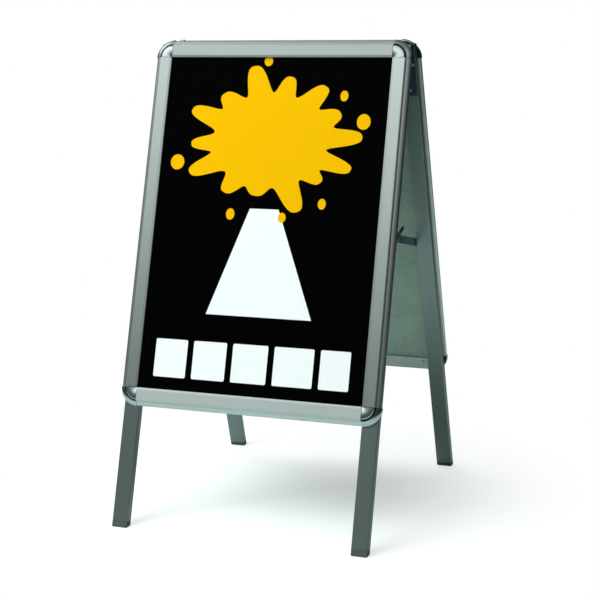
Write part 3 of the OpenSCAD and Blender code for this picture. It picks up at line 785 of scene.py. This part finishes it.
class BOARD_OT_poster_print(BoardOperator, bpy.types.Operator):
    """Prints a bright blot with droplets and plain light blocks on both posters"""

    bl_idname = "board.poster_print"
    bl_label = "Poster Print"

    # Lobes of the blot: direction in degrees, height and half width in degrees
    LOBES = ((4, 0.62, 9), (27, 0.36, 10), (52, 0.50, 9), (78, 0.42, 8), (103, 0.66, 9), (131, 0.34, 10),
             (155, 0.58, 9), (184, 0.40, 8), (208, 0.56, 9), (238, 0.34, 9), (263, 0.20, 10),
             (292, 0.62, 9), (318, 0.30, 8), (338, 0.58, 8))
    # Droplets: place across and up from the blot, and half sizes, in metres
    DROPLETS = ((0.236, 0.050, 0.017, 0.019), (0.182, 0.112, 0.010, 0.013), (-0.236, -0.058, 0.018, 0.019),
                (-0.020, 0.196, 0.011, 0.012), (0.150, -0.150, 0.010, 0.013), (-0.082, -0.182, 0.011, 0.014),
                (0.052, -0.186, 0.010, 0.012))
    # The light block under the blot, as its corners, and the row of bars below it, each as x and half width
    BLOCK = ((0.034, 0.038), (-0.040, 0.038), (-0.128, -0.222), (0.142, -0.222))
    BARS = ((-0.208, 0.042), (-0.107, 0.043), (-0.003, 0.045), (0.108, 0.050), (0.211, 0.037))

    def execute(self, context):
        leaf = Leaf(context.scene)
        front = -leaf.frame.ledge + leaf.sheets.back_sheet + leaf.sheets.poster - 0.0001
        centre = np.array([-0.008, 0.205])
        blot = [blot_outline((0.146, 0.114), self.LOBES) + centre]
        blot += [circle_arc(centre + (x, y), (rx, ry), 0, 352.5, 47) for x, y, rx, ry in self.DROPLETS]
        bar_height, bar_corner, bar_y = 0.092, 0.004, -0.334
        plain = [self.BLOCK] + [rounded_rectangle(2 * half, bar_height, bar_corner) + (x, bar_y)
                                for x, half in self.BARS]
        coats = (("blocks", plain, "print_light"), ("blot", blot, "print_bright"))
        for end in LEAVES:
            for coat, (name, outlines, finish) in enumerate(coats, 1):
                shells = [flat_plate(outline, front + coat * leaf.sheets.ink, front) for outline in outlines]
                self.add_standing(leaf, end, f"poster_{name}", shells, "poster", finish=finish)
        return {"FINISHED"}


def upright_ring(outline, middle_x, y, middle_z, inset=0.0):
    """A leg's outline (across, out) drawn in by inset, at one height y or at a height for each point."""
    half = np.abs(outline).max(0)
    scaled = outline * (half - inset) / half
    height = np.broadcast_to(y, len(outline))
    return np.stack([scaled[:, 0] + middle_x, height, scaled[:, 1] + middle_z], 1)


class BOARD_OT_legs(BoardOperator, bpy.types.Operator):
    """Sweeps the leg tubes, and lofts their top plugs and feet"""

    bl_idname = "board.legs"
    bl_label = "Legs"

    def execute(self, context):
        leaf = Leaf(context.scene)
        legs = leaf.legs
        outline = rounded_rectangle(leaf.leg_width, legs.thickness, legs.corner)
        middle_z = -leaf.frame.rail_depth - legs.thickness / 2
        top = leaf.half_height - legs.top_gap
        toe = 0.003
        for end in LEAVES:
            plugs, feet = [], []
            for side in (-1, 1):
                x = side * leaf.leg_middle
                word = {1: "right", -1: "left"}[side if end == "front" else -side]
                tube = np.stack([upright_ring(outline, x, y, middle_z)
                                 for y in np.linspace(leaf.tube_end, top, 17)])
                self.add_standing(leaf, end, f"leg_{word}_tube", [tube], "leg_tube", f"leg_{word}")
                head = [(0.0, 0.0), (0.6, 0.0), (0.85, 0.0004), (1.0, 0.0012)]
                plugs.append(np.stack([upright_ring(outline, x, top + share * legs.plug_head, middle_z, inset)
                                       for share, inset in head]))
                foot = []
                for turn in np.radians((0, 20, 40, 60, 75, 90)):
                    inset = toe * (1 - math.sin(turn))
                    slope = outline[:, 1] / (legs.thickness / 2) * (1 - 2 * inset / legs.thickness)
                    height = leaf.foot_y - slope * leaf.sole_rise + toe * (1 - math.cos(turn))
                    foot.append(upright_ring(outline, x, height, middle_z, inset))
                foot.append(upright_ring(outline, x, leaf.tube_end - 0.0006, middle_z))
                foot.append(upright_ring(outline, x, leaf.tube_end, middle_z, 0.0006))
                feet.append(np.stack(foot))
            self.add_standing(leaf, end, "leg_top_plugs", plugs, "black_moulding", "leg_tops")
            self.add_standing(leaf, end, "leg_feet", feet, "foot_moulding", "feet")
        return {"FINISHED"}


def domed_head(radius, height, shank, depth, recess=0.0):
    """Profile of a headed pin, from the end of its shank to its dome, with a dished recess if asked."""
    angles = np.radians(np.linspace(8, 84, 9))
    dome = np.stack([radius * np.cos(angles), height * (0.35 + 0.65 * np.sin(angles))], 1)
    if recess:
        dome = dome[dome[:, 0] > recess * 1.15]
        dome = np.concatenate([dome, [[recess, height * 0.9], [recess * 0.92, height * 0.45],
                                      [recess * 0.3, height * 0.4]]])
    return np.concatenate([[[shank, -depth], [shank, 0], [radius * 0.97, 0], [radius, height * 0.18]], dome])


class BOARD_OT_hinges(BoardOperator, bpy.types.Operator):
    """Cuts the two butt hinges' leaves with their knuckles, and their pins and rivets"""

    bl_idname = "board.hinges"
    bl_label = "Hinges"

    KNUCKLES = 5

    def leaf_outline(self, hinge, odd, gap):
        """A plate with round lower corners, whose top edge has a tooth under each of its knuckles."""
        half, pitch, corner = hinge.width / 2, hinge.width / self.KNUCKLES, 0.005
        notch = -(hinge.offset - 0.001) - 0.001
        points = [circle_arc((-half + corner, -hinge.height + corner), corner, 180, 270, 6),
                  circle_arc((half - corner, -hinge.height + corner), corner, 270, 360, 6)]
        for k in reversed(range(self.KNUCKLES)):
            low, high = -half + k * pitch, -half + (k + 1) * pitch
            if k % 2 == odd:
                points.append([[high - gap / 2, notch], [high - gap / 2, 0], [low + gap / 2, 0],
                               [low + gap / 2, notch]])
            elif k in (0, self.KNUCKLES - 1):
                points.append([[low if k == 0 else high, notch]])
        return np.concatenate(points)

    def execute(self, context):
        leaf = Leaf(context.scene)
        hinge = leaf.hinge
        gap, bevel, knuckle = 0.0003, 0.0003, hinge.offset - 0.001
        pitch = hinge.width / self.KNUCKLES
        barrel_end = pitch - gap
        barrel = [(hinge.pin_radius, 0), (knuckle - bevel, 0), (knuckle, bevel),
                  (knuckle, barrel_end - bevel), (knuckle - bevel, barrel_end),
                  (hinge.pin_radius, barrel_end)]
        face = -leaf.leg_face
        spots = ((-0.012, 0.039), (0.012, 0.039), (0.0, hinge.height - 0.015))
        rivet = domed_head(radius=0.0036, height=0.0014, shank=0.002, depth=0.006, recess=0.0011)
        for odd, end in enumerate(LEAVES):
            plates, rivets = [], []
            for side in (-1, 1):
                x = side * leaf.leg_middle
                outline = self.leaf_outline(hinge, odd, gap) + (x, leaf.hinge_y)
                plates.append(flat_plate(outline, face, face - hinge.thickness))
                for k in range(odd, self.KNUCKLES, 2):
                    low = x + (k - self.KNUCKLES / 2) * pitch + gap / 2
                    plates.append(turned(barrel, (low, leaf.hinge_y, leaf.hinge_z), (1, 0, 0)))
                for across, below in spots:
                    seat = (x + across, leaf.hinge_y - below, face - hinge.thickness)
                    rivets.append(turned(rivet, seat, (0, 0, -1)))
            self.add_standing(leaf, end, "hinge_plates", plates, "hinge_steel", "hinge_leaves", edge=0.0003)
            self.add_standing(leaf, end, "hinge_rivet_heads", rivets, "aluminium_rivet", "hinge_rivets")
        pins = []
        reach = hinge.width / 2 + 0.0001
        pin = domed_head(hinge.pin_radius + 0.001, 0.001, hinge.pin_radius, reach)
        for side in (-1, 1):
            for out in (-1, 1):
                seat = (side * leaf.leg_middle + out * reach, 0, HINGE_HEIGHT)
                pins.append(turned(pin, seat, (out, 0, 0)))
        self.add("hinge_pin_heads", pins, "front_leaf", "zinc_steel", ["hinge_pins"])
        return {"FINISHED"}


class BOARD_OT_fasteners(BoardOperator, bpy.types.Operator):
    """Heads the corner screws and the blind rivets that fasten the legs"""

    bl_idname = "board.fasteners"
    bl_label = "Screws And Rivets"

    def execute(self, context):
        leaf = Leaf(context.scene)
        back = -leaf.frame.rail_depth
        screw_inset, rivet_inset = 0.020, 0.070
        screw_x = leaf.view_half_width - screw_inset
        screw_y = leaf.half_height - leaf.channel
        rivet_x = leaf.half_width - leaf.channel
        rivet_reach = leaf.view_half_height - rivet_inset
        head = domed_head(radius=0.0038, height=0.0020, shank=0.0017, depth=0.009, recess=0.0015)
        recess = len(head) - 2
        rivet = domed_head(radius=0.004, height=0.0012, shank=0.002, depth=0.0055, recess=0.0011)
        for end in LEAVES:
            screws = [turned(head, (sx * screw_x, sy * screw_y, back), (0, 0, -1), lobes=6, depth=0.0003,
                             lobed=(recess, recess + 1), steps=36)
                      for sx in (-1, 1) for sy in (-1, 1)]
            self.add_standing(leaf, end, "corner_screws", screws, "zinc_steel", "key_screws")
            rivets = []
            for sx in (-1, 1):
                for share in (-1, -1 / 3, 1 / 3, 1):
                    seat = (sx * rivet_x, share * rivet_reach, back + leaf.frame.wall)
                    rivets.append(turned(rivet, seat, (0, 0, 1)))
            self.add_standing(leaf, end, "leg_rivet_heads", rivets, "aluminium_rivet", "leg_rivets")
        return {"FINISHED"}


class BOARD_OT_stays(BoardOperator, bpy.types.Operator):
    """Cuts the stays' arms, dips the levers' ends and heads the pivots"""

    bl_idname = "board.stays"
    bl_label = "Stays"

    def execute(self, context):
        sizes = context.scene.board_stays
        half, lever = sizes.width / 2, sizes.lever_width / 2
        pin, collar, edge = sizes.pin_radius, sizes.pin_radius + 0.004, 0.0004
        inner_head = domed_head(sizes.head_radius, sizes.head_thickness, pin, 0.0002)
        for word, side in (("left", -1), ("right", 1)):
            low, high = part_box(f"stay_rivet_{word}")
            middle = Vector(((low.y + high.y) / 2, (low.z + high.z) / 2))
            planes = {}
            for leaf in LEAVES:
                low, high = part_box(f"stay_{leaf}_arm_{word}")
                planes[leaf] = ((low.x + high.x) / 2, high.x - low.x)
                x, thickness = planes[leaf]
                pivot = Vector(JOINTS[f"stay_{leaf}_{word}"]["pos_m"][1:])
                reach = (middle - pivot).length
                angle = math.atan2(middle.y - pivot.y, middle.x - pivot.x)
                heel = circle_arc((0, 0), half, 90, 270, 18)
                if leaf == "front":
                    tip = reach + sizes.lever_length
                    neck, taper = reach + 0.008, reach + 0.032
                    points = [heel, [[neck, -half], [taper, -lever]],
                              circle_arc((tip - lever, 0), lever, -90, 90, 12),
                              [[taper, lever], [neck, half]]]
                    sleeve = self.sleeve(sizes, tip, lever, thickness)
                    self.add(f"stay_lever_sleeve_{word}", [self.placed(sleeve, pivot, angle, x)],
                             f"stay_front_{word}", "grip_vinyl", [f"stay_grip_{word}"], smooth=60)
                else:
                    points = [heel, circle_arc((reach, 0), half, -90, 90, 18)]
                bar = flat_plate(np.concatenate(points), thickness / 2, -thickness / 2)
                self.add(f"stay_{leaf}_bar_{word}", [self.placed(bar, pivot, angle, x)],
                         f"stay_{leaf}_{word}", "stay_steel", [f"stay_{leaf}_arm_{word}"], edge=0.0006)
                inner = x - side * (thickness / 2 + 0.00015)
                shoulder = LEG_INNER_X - abs(x) - thickness / 2
                stud = [(pin, -thickness - 0.0002), (pin, 0), (collar - edge, 0), (collar, edge),
                        (collar, shoulder)]
                shells = [turned(stud, (x + side * thickness / 2, *pivot), (side, 0, 0)),
                          turned(inner_head, (inner, *pivot), (-side, 0, 0))]
                self.add(f"stay_{leaf}_stud_{word}", shells, f"{leaf}_leaf", "zinc_steel",
                         [f"{leaf}_stay_studs"])
            for node, leaf, out, radius in (("rivet", "rear", side, sizes.head_radius),
                                            ("tail", "front", -side, sizes.head_radius - 0.001)):
                x, thickness = planes[leaf]
                head = domed_head(radius, sizes.head_thickness, sizes.pin_radius, thickness)
                self.add(f"stay_{node}_head_{word}",
                         [turned(head, (x + out * thickness / 2, *middle), (out, 0, 0))],
                         f"stay_{leaf}_{word}", "zinc_steel", [f"stay_{node}_{word}"])
        return {"FINISHED"}

    def sleeve(self, sizes, tip, lever, thickness):
        """Rings of a dipped sleeve: a flat oval section that swells at its mouth and closes round the tip."""
        steps, skin_thickness, start = 32, 0.0008, tip - sizes.grip_length
        angles = np.linspace(0, 2 * math.pi, steps, endpoint=False)
        across = np.sign(np.cos(angles)) * np.abs(np.cos(angles)) ** 0.6
        out = np.sign(np.sin(angles)) * np.abs(np.sin(angles)) ** 0.6
        turn = np.linspace(0, math.radians(86), 9)
        along = np.concatenate([[start, start + 0.0008, start + 0.003], tip - lever + (lever + skin_thickness)
                                * np.sin(turn)])
        share = np.concatenate([[0.93, 1.0, 0.97], 0.97 * np.cos(turn) ** 0.8])
        width = (lever + skin_thickness) * share
        depth = (thickness / 2 + skin_thickness) * np.maximum(share, 0.35)
        lengthwise = np.repeat(along[:, None], steps, 1)
        return np.stack([lengthwise, width[:, None] * across, depth[:, None] * out], 2)

    def placed(self, rings, origin, angle, x):
        """Turns rings (along, across, out) by angle in the upright plane at x, from origin (y, z)."""
        cosine, sine = math.cos(angle), math.sin(angle)
        along, across, out = rings[..., 0], rings[..., 1], rings[..., 2]
        return np.stack([x + out, origin[0] + along * cosine - across * sine,
                         origin[1] + along * sine + across * cosine], 2)


def studio_world():
    """A soft studio: a bright band at mid height, darker to the right and behind, white where it is seen."""
    world = bpy.data.worlds.new("Studio")
    world.use_nodes = True
    world.node_tree.nodes.clear()
    add = partial(add_node, world.node_tree)
    turn = add("ShaderNodeTexCoord", output="Generated")
    way = add("ShaderNodeSeparateXYZ", {"Vector": turn}, None).outputs
    band = add("ShaderNodeValToRGB", {"Fac": way["Z"]}, None)
    stops = ((0.0, "#3f4645"), (0.25, "#474e4d"), (0.34, "#767e7d"), (0.46, "#e2e9e9"), (0.66, "#f9ffff"),
             (0.84, "#b4bbba"), (1.0, "#767d7c"))
    for height, _ in stops[1:-1]:
        band.color_ramp.elements.new(height)
    for element, (height, code) in zip(band.color_ramp.elements, stops):
        element.position = height
        element.color = linear(code)
    right = add("ShaderNodeMapRange", {
        "Value": way["X"], "From Min": -0.6, "From Max": 0.7, "To Min": 2.1, "To Max": 0.12,
    })
    behind = add("ShaderNodeMapRange", {
        "Value": way["Y"], "From Min": -0.8, "From Max": 0.8, "To Min": 1.0, "To Max": 0.22,
    })
    dim = add("ShaderNodeMath", {0: right, 1: behind}, operation="MULTIPLY")
    sky = add("ShaderNodeBackground", {"Color": band.outputs["Color"], "Strength": dim})
    plain = add("ShaderNodeBackground", {"Color": linear("#ffffff")})
    seen = add("ShaderNodeLightPath", output="Is Camera Ray")
    add("ShaderNodeOutputWorld", {"Surface": add("ShaderNodeMixShader", {0: seen, 1: sky, 2: plain})})
    return world


def pale_floor():
    """A seamless white sweep, which is seen shaded near the board and as white light away from it.

    The white grows over the distance sqrt(x ** 2 + y ** 2) from near to far. The light that the floor
    throws back falls off in the same way, where a real studio is dark beyond its sweep.
    """
    near, far = 0.15, 0.8
    dusk, dark = 1.3, 2.6
    material, add = new_material("Studio floor")
    place = add("ShaderNodeTexCoord", output="Object")
    reach = add("ShaderNodeVectorMath", {0: place}, "Value", operation="LENGTH")
    grain = add("ShaderNodeTexNoise", {"Vector": place, "Scale": 2.0})
    tone = add("ShaderNodeMix", {0: grain, 6: linear("#f3f8f7"), 7: linear("#f6faf9")}, 2, data_type="RGBA")
    shaded = add("ShaderNodeBsdfPrincipled", {
        "Base Color": tone, "Roughness": 0.9, "Specular IOR Level": 0.0,
        "Emission Color": linear("#ffffff"), "Emission Strength": 0.29,
    })
    white = add("ShaderNodeEmission", {"Color": linear("#ffffff")})
    glow = add("ShaderNodeMapRange", {"Value": reach, "From Min": near, "From Max": far})
    shown = add("ShaderNodeMixShader", {0: glow, 1: shaded, 2: white})
    away = add("ShaderNodeMapRange", {"Value": reach, "From Min": dusk, "From Max": dark})
    cast = add("ShaderNodeMix", {0: away, 6: linear("#c3cfcd"), 7: linear("#2c3534")}, 2, data_type="RGBA")
    bounced = add("ShaderNodeBsdfDiffuse", {"Color": cast})
    seen = add("ShaderNodeLightPath", output="Is Camera Ray")
    add("ShaderNodeOutputMaterial", {"Surface": add("ShaderNodeMixShader", {0: seen, 1: bounced, 2: shown})})
    return material


class BOARD_OT_stage(bpy.types.Operator):
    """Sets the floor, the light and the camera"""

    bl_idname = "board.stage"
    bl_label = "Stage"

    def execute(self, context):
        scene = context.scene
        settings = scene.board_stage
        half, thickness = 12.0, 0.01
        floor = skin("floor", [flat_plate(rectangle(half, half), 0.0, -thickness)])
        floor.data.materials.append(pale_floor())
        scene.world = studio_world()
        target = Vector((0, 0, 0.4))
        softboxes = (("Overhead softbox", (-0.5, -0.1, 3.6), 2.4, settings.overhead),
                     ("Key softbox", (-1.6, -2.6, 3.4), 2.6, settings.key))
        for name, place, size, power in softboxes:
            light = bpy.data.lights.new(name, "AREA")
            light.shape = "SQUARE"
            light.size = size
            light.energy = power
            light.color = linear("#eff9f8")[:3]
            lamp = bpy.data.objects.new(name, light)
            lamp.location = place
            lamp.visible_glossy = False
            lamp.rotation_euler = (target - lamp.location).to_track_quat("-Z", "Y").to_euler()
            scene.collection.objects.link(lamp)
        camera = bpy.data.cameras.new("Camera")
        camera.lens = settings.lens
        camera.sensor_width = 36
        camera.shift_y = settings.shift
        eye = bpy.data.objects.new("Camera", camera)
        eye.matrix_world = (Matrix.Translation(settings.place) @ Matrix.Rotation(settings.yaw, 4, "Z")
                            @ Matrix.Rotation(math.pi / 2 - settings.pitch, 4, "X")
                            @ Matrix.Rotation(settings.roll, 4, "Z"))
        scene.collection.objects.link(eye)
        scene.camera = eye
        scene.view_settings.view_transform = "Standard"
        return {"FINISHED"}


GROUPS = {
    "board_frame": BoardFrameSizes,
    "board_sheets": BoardSheetSizes,
    "board_legs": BoardLegSizes,
    "board_hinges": BoardHingeSizes,
    "board_stays": BoardStaySizes,
    "board_colours": BoardColours,
    "board_stage": BoardStageSettings,
}
OPERATORS = (BOARD_OT_stage, BOARD_OT_base_rails, BOARD_OT_snap_covers, BOARD_OT_corners, BOARD_OT_sheets,
             BOARD_OT_poster_print, BOARD_OT_legs, BOARD_OT_hinges, BOARD_OT_fasteners, BOARD_OT_stays)


class BOARD_PT_sidebar(bpy.types.Panel):
    """Lists the board's steps and sizes"""

    bl_label = "Sandwich Board"
    bl_idname = "BOARD_PT_sidebar"
    bl_space_type = "VIEW_3D"
    bl_region_type = "UI"
    bl_category = "Board"

    def draw(self, context):
        for operator in OPERATORS:
            self.layout.operator(operator.bl_idname)
        for group in GROUPS:
            box = self.layout.box()
            settings = getattr(context.scene, group)
            for name in settings.__annotations__:
                box.prop(settings, name)


def register():
    for kind in (*GROUPS.values(), *OPERATORS, BOARD_PT_sidebar):
        bpy.utils.register_class(kind)
    for name, kind in GROUPS.items():
        setattr(bpy.types.Scene, name, PointerProperty(type=kind))


def unregister():
    for name in GROUPS:
        delattr(bpy.types.Scene, name)
    for kind in (BOARD_PT_sidebar, *reversed(OPERATORS), *GROUPS.values()):
        bpy.utils.unregister_class(kind)


def main():
    register()
    for operator in OPERATORS:
        family, name = operator.bl_idname.split(".")
        getattr(getattr(bpy.ops, family), name)()


if __name__ == "__main__":
    main()
